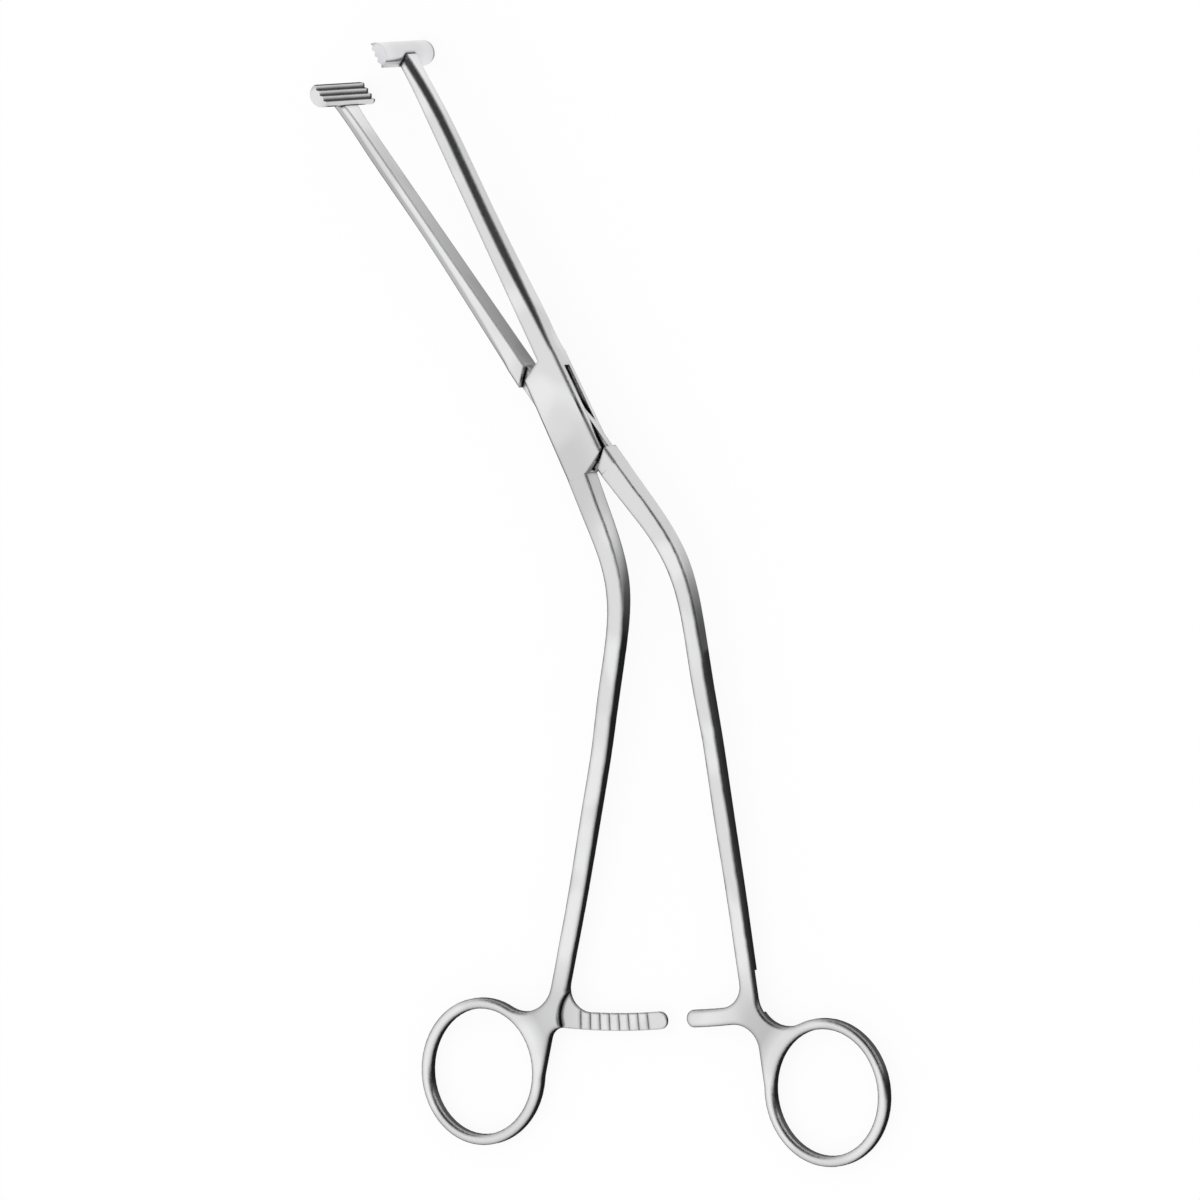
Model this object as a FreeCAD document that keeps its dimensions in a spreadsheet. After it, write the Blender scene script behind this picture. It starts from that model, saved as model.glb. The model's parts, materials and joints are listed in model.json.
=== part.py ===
"""Ring-handled forceps with T-shaped jaw bars, a box lock and a ratchet.

Millimetres. Each half is drawn with the jaws closed along +Y and the pivot on the
Z axis, and is then turned into its place in the part's frame. The part's frame has
its origin on the pivot axis at the back face of the box lock, +Z out of the front
face, and +Y towards the jaws along the line midway between the two finger rings.
"""
import FreeCAD, Part
import math
import os
import Sketcher

doc = FreeCAD.newDocument("forceps")
sheet = doc.addObject("Spreadsheet::Sheet", "Sizes")

SIZES = [
    # From the bars to the middle of the box half's ring, along its centre line
    ("overall_length", 219.6183),
    # How the two halves lie at rest
    ("jaw_axis_angle", 33.55),
    ("rest_opening_angle", 10.4),
    # The box lock
    ("lock_depth", 5.6),
    ("slot_depth", 2.1),
    ("tongue_depth", 2.0),
    ("lock_half_top", 4.3),
    ("lock_half_bottom", 4.75),
    ("lock_corner_y", 9.8),
    ("lock_end_y", 12.2),
    ("lock_bevel", 0.5),
    ("cut_clear", 0.02),
    ("slot_round", 10.3),
    ("slot_clear", 0.15),
    ("tongue_round", 10.15),
    ("tongue_half_width", 4.1),
    ("shoulder_corner_y", 10.35),
    ("shoulder_end_y", 13.3),
    ("shoulder_depth_y", 14.4),
    ("shoulder_lap", 0.05),
    ("neck_inset", 0.35),
    ("neck_lap", 0.4),
    # The rivet that the two halves turn on
    ("pivot_radius", 1.6),
    ("pivot_play", 0.05),
    ("rivet_rim", 0.5),
    # The jaw shanks, each given back from the middle of its bar
    ("jaw_length", 81.2),
    ("jaw_inner", 0.4),
    ("box_jaw_root", 4.6),
    ("box_jaw_middle", 3.9),
    ("box_jaw_neck", 3.5),
    ("box_jaw_tip", 2.6),
    ("tongue_jaw_root", 4.05),
    ("tongue_jaw_middle", 3.1),
    ("tongue_jaw_neck", 3.1),
    ("tongue_jaw_tip", 2.7),
    ("jaw_root_depth", 5.3),
    ("jaw_neck_depth", 4.5),
    ("jaw_flare_depth", 6.4),
    ("jaw_shoulder_y", 19.0),
    ("jaw_slim_y", 30.0),
    ("jaw_taper_length", 31.2),
    ("jaw_flare_length", 11.2),
    ("jaw_end_gap", 1.2),
    ("jaw_bevel_width", 1.45),
    ("jaw_bevel_depth", 1.1),
    # The T-shaped jaw bars
    ("bar_length", 21.0),
    ("bar_round", 2.7),
    ("bar_thickness", 2.4),
    ("bar_gap", 0.1),
    ("bar_end_round", 1.4),
    ("bar_end_clear", 0.3),
    ("ridge_pitch", 1.35),
    ("ridge_depth", 0.5),
    # The handle shanks
    ("tongue_handle_more", 8.0414),
    ("shank_root_width", 4.4),
    ("shank_bend_width", 3.6),
    ("shank_end_width", 3.45),
    ("shank_bend_depth", 4.3),
    ("grip_depth", 3.3),
    ("root_round", 0.5),
    ("root_lap", 0.19),
    ("wire_round", 1.0),
    ("box_root_x", -2.6),
    ("box_root_y", -12.2),
    ("box_lean_angle", 4.8),
    ("box_straight", 14.0),
    ("box_bend_radius", 34.0),
    ("box_bend_angle", 30.7),
    ("box_bow_radius", 935.0),
    ("tongue_root_x", 1.985),
    ("tongue_root_y", -14.4),
    ("tongue_lean_angle", -2.0),
    ("tongue_straight", 13.5),
    ("tongue_bend_radius", 38.6),
    ("tongue_bend_angle", 29.2),
    ("tongue_bow_radius", 2219.0),
    # The finger rings
    ("ring_half_width", 12.48),
    ("ring_half_length", 13.78),
    ("ring_wire", 2.15),
    ("box_ring_angle", 9.5),
    ("tongue_ring_angle", 1.4),
    ("stub_length", 26.0),
    ("box_ring_offset", 13.4),
    ("tongue_ring_offset", 13.96),
    ("box_arm_level", 14.2),
    ("tongue_arm_level", 17.3),
    ("web_round", 6.5),
    ("rim_round", 8.0),
    ("rim_lap", 0.2),
    ("box_arm_top_round", 4.7),
    ("tongue_arm_top_round", 4.4),
    ("box_arm_low_round", 2.8),
    ("tongue_arm_low_round", 5.5),
    # The ratchet, whose arms are bent to one radius, each about a centre of its own
    ("arm_rise", 16.1683),
    ("arm_height", 3.55),
    ("crest_gap", 0.1),
    ("box_arm_x", 6.04),
    ("box_arm_y", -2.12),
    ("box_arm_start_angle", -122.4),
    ("box_arm_sweep_angle", 12.1),
    ("tongue_arm_x", 17.0),
    ("tongue_arm_y", -10.5),
    ("tongue_arm_start_angle", -124.7),
    ("tongue_arm_sweep_angle", 7.3),
    ("recess_inset", 1.65),
    ("recess_round", 7.1),
    ("recess_lap", 0.5),
    ("recess_length", 22.0),
    ("box_recess_angle", -115.15),
    ("tongue_recess_angle", -110.0),
    ("tooth_pitch_angle", 1.014),
    ("tooth_length", 2.16),
    ("tooth_depth", 0.5),
    ("tooth_land", 0.2),
    ("box_tooth_start_angle", -117.3),
    ("tongue_tooth_start_angle", -114.7),
]
for row, (alias, value) in enumerate(SIZES, start=1):
    sheet.set(f"A{row}", alias)
    sheet.set(f"B{row}", str(value))
    sheet.setAlias(f"B{row}", alias)
doc.recompute()

ALIASES = sorted((alias for alias, _ in SIZES), key=len, reverse=True)
BOX_TEETH = 8
TONGUE_TEETH = 3


def spell(expression):
    """An expression in which each $name reads the cell of that name."""
    for alias in ALIASES:
        expression = expression.replace("$" + alias, f"Sizes.{alias}")
    return expression


def number(expression):
    """The present value of an expression."""
    result = sheet.evalExpression(spell(expression))
    return float(getattr(result, "Value", result))


def new_body(name):
    body = doc.addObject("PartDesign::Body", name)
    body.Label = name
    return body


def origin_feature(body, role):
    for feature in body.Origin.OriginFeatures:
        if feature.Role == role:
            return feature
    raise ValueError(role)


def new_sketch(body, name, role="XY_Plane", shift=("0", "0", "0"), turn="0"):
    """A sketch on one of the body's planes, moved along that plane's axes and turned about Z."""
    sketch = body.newObject("Sketcher::SketchObject", name)
    sketch.AttachmentSupport = [(origin_feature(body, role), "")]
    sketch.MapMode = "FlatFace"
    axis = FreeCAD.Vector(0, 0, 1) if role == "XY_Plane" else FreeCAD.Vector(0, 1, 0)
    base = FreeCAD.Vector(*(number(part) for part in shift))
    sketch.AttachmentOffset = FreeCAD.Placement(base, FreeCAD.Rotation(axis, number(turn)))
    for letter, part in zip("xyz", shift):
        if part != "0":
            sketch.setExpression(f"AttachmentOffset.Base.{letter}", spell(part))
    if turn != "0":
        sketch.setExpression("AttachmentOffset.Rotation.Angle", spell(turn))
    return sketch


def hold(sketch, kind, *where_and_size):
    """A dimension that is bound to an expression."""
    *where, expression = where_and_size
    index = sketch.addConstraint(Sketcher.Constraint(kind, *where, number(expression)))
    sketch.setExpression(f"Constraints[{index}]", spell(expression))


def hold_point(sketch, edge, end, x, y):
    """Ties a point to the sketch's axes. A zero puts it on the other axis."""
    for kind, axis, size in (("DistanceX", -2, x), ("DistanceY", -1, y)):
        if size == "0":
            sketch.addConstraint(Sketcher.Constraint("PointOnObject", edge, end, axis))
        else:
            hold(sketch, kind, -1, 1, edge, end, size)


def draw_outline(sketch, points):
    """A closed outline of straight edges. Each corner is a pair of expressions."""
    places = [FreeCAD.Vector(number(x), number(y), 0) for x, y in points]
    first = sketch.GeometryCount
    count = len(points)
    for i in range(count):
        sketch.addGeometry(Part.LineSegment(places[i], places[(i + 1) % count]), False)
    for i in range(count):
        sketch.addConstraint(Sketcher.Constraint("Coincident", first + i, 2, first + (i + 1) % count, 1))
    for i, (x, y) in enumerate(points):
        hold_point(sketch, first + i, 1, x, y)


def draw_circle(sketch, radius, x="0", y="0"):
    centre = FreeCAD.Vector(number(x), number(y), 0)
    index = sketch.addGeometry(Part.Circle(centre, FreeCAD.Vector(0, 0, 1), number(radius)), False)
    hold_point(sketch, index, 3, x, y)
    hold(sketch, "Radius", index, radius)


def draw_ellipse(sketch, half_width, half_length):
    """An ellipse about the sketch's origin, with its long axis along the sketch's Y."""
    high = number(half_length)
    wide = number(half_width)
    centre = FreeCAD.Vector(0, 0, 0)
    ellipse = Part.Ellipse(FreeCAD.Vector(0, high, 0), FreeCAD.Vector(-wide, 0, 0), centre)
    index = sketch.addGeometry(ellipse, False)
    sketch.exposeInternalGeometry(index)
    sketch.addConstraint(Sketcher.Constraint("Coincident", index, 3, -1, 1))
    lines = [i for i in range(sketch.GeometryCount)
             if sketch.Geometry[i].TypeId == "Part::GeomLineSegment"]
    major, minor = sorted(lines, key=lambda i: -sketch.Geometry[i].length())
    sketch.addConstraint(Sketcher.Constraint("Vertical", major))
    hold(sketch, "Distance", major, f"2 * ({half_length})")
    hold(sketch, "Distance", minor, f"2 * ({half_width})")


def draw_rounded(sketch, width, depth, corner):
    """A rectangle with four equal round corners, centred on the sketch's origin."""
    half_w = number(width) / 2
    half_d = number(depth) / 2
    r = number(corner)
    first = sketch.GeometryCount
    centres = [(half_w - r, half_d - r, 0), (r - half_w, half_d - r, 90),
               (r - half_w, r - half_d, 180), (half_w - r, r - half_d, 270)]
    for x, y, start in centres:
        circle = Part.Circle(FreeCAD.Vector(x, y, 0), FreeCAD.Vector(0, 0, 1), r)
        arc = Part.ArcOfCircle(circle, math.radians(start), math.radians(start + 90))
        sketch.addGeometry(arc, False)
    arcs = [sketch.Geometry[first + i] for i in range(4)]
    for i in range(4):
        line = Part.LineSegment(arcs[i].EndPoint, arcs[(i + 1) % 4].StartPoint)
        sketch.addGeometry(line, False)
    for i in range(4):
        sketch.addConstraint(Sketcher.Constraint("Tangent", first + i, 2, first + 4 + i, 1))
        sketch.addConstraint(Sketcher.Constraint("Tangent", first + 4 + i, 2, first + (i + 1) % 4, 1))
    for i in (4, 6):
        sketch.addConstraint(Sketcher.Constraint("Horizontal", first + i))
    for i in (5, 7):
        sketch.addConstraint(Sketcher.Constraint("Vertical", first + i))
    for i in (1, 2, 3):
        sketch.addConstraint(Sketcher.Constraint("Equal", first, first + i))
    hold(sketch, "Radius", first, corner)
    hold(sketch, "DistanceY", -1, 1, first + 4, 1, f"({depth}) / 2")
    hold(sketch, "DistanceX", -1, 1, first + 7, 2, f"({width}) / 2")
    sketch.addConstraint(Sketcher.Constraint("Symmetric", first, 3, first + 2, 3, -1, 1))


def draw_bevelled(sketch, left, right, shrink="1", plain_right=False):
    """A section as deep as the lock, with its corners bevelled at both ends or only the left."""
    deep = "$lock_depth / 2"
    shy = "($lock_depth / 2 - $lock_bevel)"
    bevel = f"$lock_bevel / ({shrink})"
    toward = 1 if number(right) > number(left) else -1
    points = [(f"{left} + {toward} * {bevel}", deep), (left, shy), (left, f"-{shy}"),
              (f"{left} + {toward} * {bevel}", f"-{deep}")]
    if plain_right:
        points += [(right, f"-{deep}"), (right, deep)]
    else:
        points += [(f"{right} - {toward} * {bevel}", f"-{deep}"), (right, f"-{shy}"), (right, shy),
                   (f"{right} - {toward} * {bevel}", deep)]
    draw_outline(sketch, points)


def pad(body, name, sketch, length):
    """A pad as deep as length, half on each side of the sketch."""
    feature = body.newObject("PartDesign::Pad", name)
    feature.Profile = sketch
    feature.SideType = "Symmetric"
    feature.setExpression("Length", spell(length))
    doc.recompute()
    return feature


def pocket(body, name, sketch, length=None, one_sided=False, reverse=False):
    """A cut through everything, or as deep as length about or beyond the sketch."""
    before = body.Shape.Volume
    feature = body.newObject("PartDesign::Pocket", name)
    feature.Profile = sketch
    if not one_sided:
        feature.SideType = "Symmetric"
    if length is None:
        feature.Type = "ThroughAll"
    else:
        feature.setExpression("Length", spell(length))
    feature.Reversed = reverse
    doc.recompute()
    if not body.Shape.Volume < before - 1e-3:
        raise ValueError(f"{name} cut nothing")
    return feature


def revolve(body, name, sketch, angle):
    feature = body.newObject("PartDesign::Revolution", name)
    feature.Profile = sketch
    feature.ReferenceAxis = (sketch, ["V_Axis"])
    feature.setExpression("Angle", spell(angle))
    doc.recompute()
    return feature


def loft(body, name, sketches):
    doc.recompute()
    feature = body.newObject("PartDesign::AdditiveLoft", name)
    feature.Profile = sketches[0]
    feature.Sections = sketches[1:]
    doc.recompute()
    return feature


def edges_where(body, test):
    """The names of the edges of the body's last feature that pass a test."""
    names = []
    for i, edge in enumerate(body.Tip.Shape.Edges, start=1):
        middle = edge.valueAt((edge.FirstParameter + edge.LastParameter) / 2)
        if test(edge, middle):
            names.append(f"Edge{i}")
    return names


def dress(body, kind, name, edge_names, size):
    """A fillet or chamfer on the named edges of the body's last feature."""
    if not edge_names:
        raise ValueError(f"{name} found no edge")
    base = body.Tip
    feature = body.newObject(f"PartDesign::{kind}", name)
    feature.Base = (base, edge_names)
    feature.setExpression("Radius" if kind == "Fillet" else "Size", spell(size))
    doc.recompute()
    if not feature.Shape.isValid() or "Invalid" in feature.State or "Error" in feature.State:
        raise ValueError(f"{name} failed on {len(edge_names)} edges: {feature.State}")
    return feature


def upright(edge):
    box = edge.BoundBox
    return box.ZLength > 1 and box.XLength < 1e-3 and box.YLength < 1e-3


def nearest_upright(body, x, y):
    """The name of the upright edge nearest to one point of the plan."""
    best = None
    for i, edge in enumerate(body.Tip.Shape.Edges, start=1):
        if not upright(edge):
            continue
        away = math.hypot(edge.BoundBox.Center.x - x, edge.BoundBox.Center.y - y)
        if best is None or away < best[0]:
            best = (away, f"Edge{i}")
    return best[1]


def blend(start, end, share):
    return f"({start} + ({end} - {start}) * {share})"


# The centre line of a handle, from the lock to the finger ring

class Handle:
    """A straight root, a tight bend and a long, slow bow, as expressions in the sizes."""

    def __init__(self, half, side):
        self.half = half
        self.side = side
        self.lean = f"${half}_lean_angle"
        self.bend_end = f"({self.lean} + ${half}_bend_angle)"
        more = "$tongue_handle_more" if half == "tongue" else "0"
        bend_length = f"${half}_bend_radius * ${half}_bend_angle * pi / 180"
        above = f"${half}_straight + {bend_length} - ${half}_root_y"
        bow_length = f"$overall_length - $jaw_length + {more} - $stub_length - ({above})"
        self.bow = f"(({bow_length}) / ${half}_bow_radius * 180 / pi)"
        self.turn_end = f"({self.bend_end} + {self.bow})"

    def straight(self, share):
        along = f"${self.half}_straight * {share}"
        x = f"${self.half}_root_x - {along} * sin({self.lean})"
        y = f"${self.half}_root_y - {along} * cos({self.lean})"
        return x, y, self.lean

    def bent(self, share):
        start_x, start_y, _ = self.straight(1)
        radius = f"${self.half}_bend_radius"
        turn = f"({self.lean} + ${self.half}_bend_angle * {share})"
        x = f"{start_x} - {radius} * (cos({self.lean}) - cos({turn}))"
        y = f"{start_y} - {radius} * (sin({turn}) - sin({self.lean}))"
        return x, y, turn

    def bowed(self, share):
        start_x, start_y, _ = self.bent(1)
        radius = f"${self.half}_bow_radius"
        turn = f"({self.bend_end} + {self.bow} * {share})"
        x = f"{start_x} - {radius} * (cos({self.bend_end}) - cos({turn}))"
        y = f"{start_y} - {radius} * (sin({turn}) - sin({self.bend_end}))"
        return x, y, turn

    def ring_centre(self):
        """The ring lies beside the shank's end, on its outer side."""
        end_x, end_y, turn = self.bowed(1)
        offset = f"${self.half}_ring_offset * {self.side}"
        x = f"{end_x} - $stub_length * sin({turn}) - {offset} * cos({turn})"
        y = f"{end_y} - $stub_length * cos({turn}) + {offset} * sin({turn})"
        return x, y

    def ring_point(self, u, v):
        """A point given across and along the handle at the ring, as plain numbers."""
        x, y = (number(part) for part in self.ring_centre())
        turn = math.radians(number(self.turn_end))
        return (x + self.side * u * math.cos(turn) + v * math.sin(turn),
                y - self.side * u * math.sin(turn) + v * math.cos(turn))


def handle_shank(body, handle):
    """The shank of one handle, through sections across its centre line."""
    sizes = {
        "width": ("$shank_root_width", "$shank_bend_width", "$shank_end_width"),
        "depth": ("$lock_depth", "$shank_bend_depth", "$grip_depth"),
        "corner": ("$root_round", "$wire_round", "$wire_round"),
    }
    places = [(handle.straight(0), 0, 0), (handle.straight(0.5), 0, 0.22), (handle.straight(1), 0, 0.45),
              (handle.bent(0.33), 0, 0.65), (handle.bent(0.67), 0, 0.85), (handle.bent(1), 0, 1),
              (handle.bowed(0.1), 1, 0.1), (handle.bowed(0.28), 1, 0.28), (handle.bowed(0.5), 1, 0.5),
              (handle.bowed(0.72), 1, 0.72), (handle.bowed(0.9), 1, 0.9), (handle.bowed(1), 1, 1)]
    sketches = []
    for i, ((x, y, turn), part, share) in enumerate(places):
        name = f"{body.Name}_shank_{i}"
        sketch = new_sketch(body, name, "XZ_Plane", (x, "0", f"-({y})"), f"-{turn}")
        width, depth, corner = (blend(size[part], size[part + 1], share) for size in sizes.values())
        draw_rounded(sketch, width, depth, corner)
        sketches.append(sketch)
    loft(body, f"{body.Name}_shank", sketches)


# The finger ring with its web and ratchet arm

ARM_RADIUS = "($overall_length - $jaw_length - $arm_rise)"
RECESS_RADIUS = f"({ARM_RADIUS} - $recess_inset)"


def grip(body, handle):
    half, side = handle.half, handle.side
    ring_x, ring_y = handle.ring_centre()
    place = (ring_x, ring_y, "0")
    turn = f"-{handle.turn_end}"
    ring_turn = f"${half}_ring_angle - {handle.turn_end}"
    offset = f"${half}_ring_offset * {side}"
    ring_width = "($ring_half_width + $ring_wire / 2)"
    ring_length = "($ring_half_length + $ring_wire / 2)"

    disc = new_sketch(body, f"{half}_ring_outline", "XY_Plane", place, ring_turn)
    draw_ellipse(disc, ring_width, ring_length)
    pad(body, f"{half}_ring_blank", disc, "$grip_depth")

    outer = f"({offset} - {side} * $shank_end_width / 2)"
    inner = f"({offset} + {side} * $shank_end_width / 2)"
    rim = f"({side} * ({ring_width} - $rim_lap))"
    level = f"${half}_arm_level"
    web = new_sketch(body, f"{half}_web_outline", "XY_Plane", place, turn)
    draw_outline(web, [(outer, "$rim_lap"), (rim, "$rim_lap"), (rim, level), (inner, level),
                       (inner, "$stub_length"), (outer, "$stub_length")])
    pad(body, f"{half}_web_blank", web, "$grip_depth")

    low = f"{ARM_RADIUS} - $arm_height / 2"
    high = f"{ARM_RADIUS} + $arm_height / 2"
    bottom = "-$grip_depth / 2"
    top = "$grip_depth / 2"
    arm_place = (f"${half}_arm_x", "0", f"-(${half}_arm_y)")
    arm = new_sketch(body, f"{half}_arm_section", "XZ_Plane", arm_place, f"${half}_arm_start_angle")
    draw_outline(arm, [(low, bottom), (high, bottom), (high, top), (low, top)])
    revolve(body, f"{half}_arm_blank", arm, f"${half}_arm_sweep_angle")

    # The corners where shank, ring and arm meet are rounded in the plan
    wide, long = number(ring_width), number(ring_length)
    shank_out = number(f"${half}_ring_offset - $shank_end_width / 2")
    shank_in = number(f"${half}_ring_offset + $shank_end_width / 2")
    tilt = math.radians(side * number(f"${half}_ring_angle"))
    sine, cosine = math.sin(tilt), math.cos(tilt)

    def on_ring(u):
        """Where a line along the handle crosses the ring's outline at its upper end."""
        square = (sine / wide) ** 2 + (cosine / long) ** 2
        linear = 2 * u * sine * cosine * (1 / wide ** 2 - 1 / long ** 2)
        rest = u ** 2 * ((cosine / wide) ** 2 + (sine / long) ** 2) - 1
        return handle.ring_point(u, (math.sqrt(linear ** 2 - 4 * square * rest) - linear) / (2 * square))

    dress(body, "Fillet", f"{half}_web_round", [nearest_upright(body, *on_ring(shank_out))], "$web_round")
    rim_u = wide - number("$rim_lap")
    dress(body, "Fillet", f"{half}_rim_round", [nearest_upright(body, *on_ring(rim_u))], "$rim_round")

    arm_x, arm_y = (number(f"${half}_arm_{axis}") for axis in "xy")

    def on_arc(u, radius):
        """Where a line along the handle crosses an arc about the arm's centre."""
        near, far = 0.0, 40.0
        for _ in range(60):
            middle = (near + far) / 2
            x, y = handle.ring_point(u, middle)
            if math.hypot(x - arm_x, y - arm_y) > radius:
                near = middle
            else:
                far = middle
        return handle.ring_point(u, near)

    top_edge = nearest_upright(body, *on_arc(shank_in, number(low)))
    dress(body, "Fillet", f"{half}_arm_top_round", [top_edge], f"${half}_arm_top_round")
    low_edge = nearest_upright(body, *on_arc(rim_u, number(high)))
    dress(body, "Fillet", f"{half}_arm_low_round", [low_edge], f"${half}_arm_low_round")
    tip = "$box_arm_start_angle + $box_arm_sweep_angle" if half == "box" else "$tongue_arm_start_angle"
    tip = math.radians(number(tip))
    corners = []
    for radius in (number(low), number(high)):
        corners.append(nearest_upright(body, arm_x + radius * math.cos(tip), arm_y + radius * math.sin(tip)))
    dress(body, "Fillet", f"{half}_arm_tip", corners, "$arm_height * 0.46")

    hole = new_sketch(body, f"{half}_finger_hole", "XY_Plane", place, ring_turn)
    draw_ellipse(hole, "($ring_half_width - $ring_wire / 2)", "($ring_half_length - $ring_wire / 2)")
    pocket(body, f"{half}_finger_opening", hole)

    # The front and back rims are rounded like wire, all but the end that meets the shank
    half_depth = number("$grip_depth") / 2
    end_x, end_y = handle.ring_point((shank_in + shank_out) / 2, number("$stub_length"))

    def on_rim(edge, middle):
        box = edge.BoundBox
        flat = box.ZLength < 1e-4 and abs(abs(middle.z) - half_depth) < 1e-4
        return flat and math.hypot(middle.x - end_x, middle.y - end_y) > number("$shank_end_width") / 10
    dress(body, "Fillet", f"{half}_wire_round", edges_where(body, on_rim), "$wire_round")


def ratchet(body, half, face, count):
    """Halves the arm's depth and cuts the teeth. Face is 1 for teeth in front, -1 for behind."""
    recess_x = f"{RECESS_RADIUS} * cos(${half}_recess_angle)"
    recess_y = f"{RECESS_RADIUS} * sin(${half}_recess_angle)"
    surface = f"-$crest_gap / 2 * {face}"
    disc = new_sketch(body, f"{half}_recess_circle", "XY_Plane", (recess_x, recess_y, surface))
    draw_circle(disc, "$recess_round")
    pocket(body, f"{half}_recess", disc, "$grip_depth", True, face > 0)

    toward_tip = 1 if half == "box" else -1
    sector = new_sketch(body, f"{half}_arm_side", "XY_Plane", ("0", "0", surface), f"${half}_recess_angle")
    inside, outside = f"{RECESS_RADIUS} - $arm_height * 1.4", f"{RECESS_RADIUS} + $arm_height * 1.9"
    before, past = f"-$recess_lap * {toward_tip}", f"$recess_length * {toward_tip}"
    draw_outline(sector, [(inside, before), (outside, before), (outside, past), (inside, past)])
    pocket(body, f"{half}_half_depth", sector, "$grip_depth", True, face > 0)

    # Each tooth has a steep side that holds the jaws shut and a slope that lets them close
    floor = f"({surface} - $tooth_depth * {face})"
    above = f"({surface} + $crest_gap * {face})"
    steep, shallow = ("$tooth_length", "$tooth_land")
    if half == "tongue":
        steep, shallow = ("0", "$tooth_length - $tooth_land")
    reach = f"({RECESS_RADIUS} - $arm_height)"
    angle = f"${half}_tooth_start_angle"
    shift = (f"{reach} * sin({angle})", "0", f"{reach} * cos({angle})")
    tooth = new_sketch(body, f"{half}_tooth_side", "YZ_Plane", shift, angle)
    draw_outline(tooth, [(shallow, surface), (steep, floor), (steep, above), (shallow, above)])
    gap = pocket(body, f"{half}_tooth_gap", tooth, "$arm_height * 3", True, True)
    pattern = body.newObject("PartDesign::PolarPattern", f"{half}_teeth")
    pattern.Originals = [gap]
    pattern.Axis = (origin_feature(body, "Z_Axis"), [""])
    pattern.Mode = "Spacing"
    pattern.Occurrences = count
    pattern.setExpression("Offset", spell("$tooth_pitch_angle"))
    body.Tip = pattern
    doc.recompute()


# The jaw shanks

def jaw(body, half, side, root_y, root_depth):
    """A jaw that tapers to its neck and flares in depth under the bar."""
    middle, neck = "($jaw_length - $jaw_taper_length)", "($jaw_length - $jaw_flare_length)"
    end = "($jaw_length - $jaw_end_gap)"
    marks = [(root_y, f"${half}_jaw_root"), (middle, f"${half}_jaw_middle"),
             (neck, f"${half}_jaw_neck"), (end, f"${half}_jaw_tip")]

    def reach(y):
        """How far the jaw's outer side lies from the line between the closed jaws."""
        span = sum(number(y) > number(mark) + 1e-6 for mark, _ in marks[1:])
        (low_y, low_x), (high_y, high_x) = marks[span], marks[span + 1]
        return blend(low_x, high_x, f"((({y}) - ({low_y})) / (({high_y}) - ({low_y})))")

    stations = [(root_y, root_depth, 0), ("$jaw_shoulder_y", "$jaw_root_depth", 0.5),
                ("$jaw_slim_y", blend("$jaw_root_depth", "$jaw_neck_depth", 0.25), 1),
                (middle, blend("$jaw_root_depth", "$jaw_neck_depth", 0.65), 1),
                (neck, "$jaw_neck_depth", 1)]
    for share, flare in ((0.4, 0.12), (0.7, 0.42), (1, 1)):
        y = blend(neck, end, share)
        stations.append((y, blend("$jaw_neck_depth", "$jaw_flare_depth", flare), 1))
    sketches = []
    for i, (y, depth, share) in enumerate(stations):
        sketch = new_sketch(body, f"{half}_jaw_{i}", "XZ_Plane", ("0", "0", f"-({y})"))
        wide, deep = (blend("$lock_bevel", f"$jaw_bevel_{way}", share) for way in ("width", "depth"))
        near = f"{side} * $jaw_inner"
        shy = f"{side} * ({reach(y)} - {wide})"
        far = f"{side} * {reach(y)}"
        draw_outline(sketch, [(near, f"-({depth}) / 2"), (shy, f"-({depth}) / 2"),
                              (far, f"-({depth}) / 2 + {deep}"), (far, f"({depth}) / 2 - {deep}"),
                              (shy, f"({depth}) / 2"), (near, f"({depth}) / 2")])
        sketches.append(sketch)
    loft(body, f"{half}_jaw", sketches)

    # The end is hollowed to seat the bar
    seat = new_sketch(body, f"{half}_bar_seat", "XY_Plane")
    draw_circle(seat, "$bar_round", bar_axis(side), "$jaw_length")
    pocket(body, f"{half}_seat", seat)


def bar_axis(side):
    return f"{side} * ($bar_gap / 2 + $bar_thickness - $bar_round)"


def jaw_bar(name, side):
    """A bar across the jaw's end, with ridges that mesh with those of the other bar."""
    body = new_body(name)
    section = new_sketch(body, f"{name}_section", "XY_Plane", ("0", "$jaw_length", "0"))
    draw_circle(section, "$bar_round", bar_axis(side))
    pad(body, f"{name}_blank", section, "$bar_length")

    # Both bars follow one zigzag line, which has a crest of the left bar beside each hollow
    face = new_sketch(body, f"{name}_face", "XY_Plane", ("0", "$jaw_length", "0"))
    zigzag = []
    for i in range(-5, 6):
        share = -1 if i % 2 == 0 else 1
        zigzag.append((f"{side} * $bar_gap / 2 + {share} * $ridge_depth / 2", f"{i} * $ridge_pitch / 2"))
    zigzag[5] = (zigzag[5][0], "0")
    away = f"-{side} * $bar_round * 2"
    draw_outline(face, zigzag + [(away, "2.5 * $ridge_pitch"), (away, "-2.5 * $ridge_pitch")])
    pocket(body, f"{name}_ridges", face)

    front = new_sketch(body, f"{name}_front_limit", "YZ_Plane", ("$jaw_length", "0", "0"))
    draw_rounded(front, "$bar_round * 4", "$bar_length + $bar_round * 2", "$bar_end_round")
    draw_rounded(front, "$bar_round * 2 + $bar_end_clear", "$bar_length", "$bar_end_round")
    pocket(body, f"{name}_ends", front)
    return body


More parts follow.
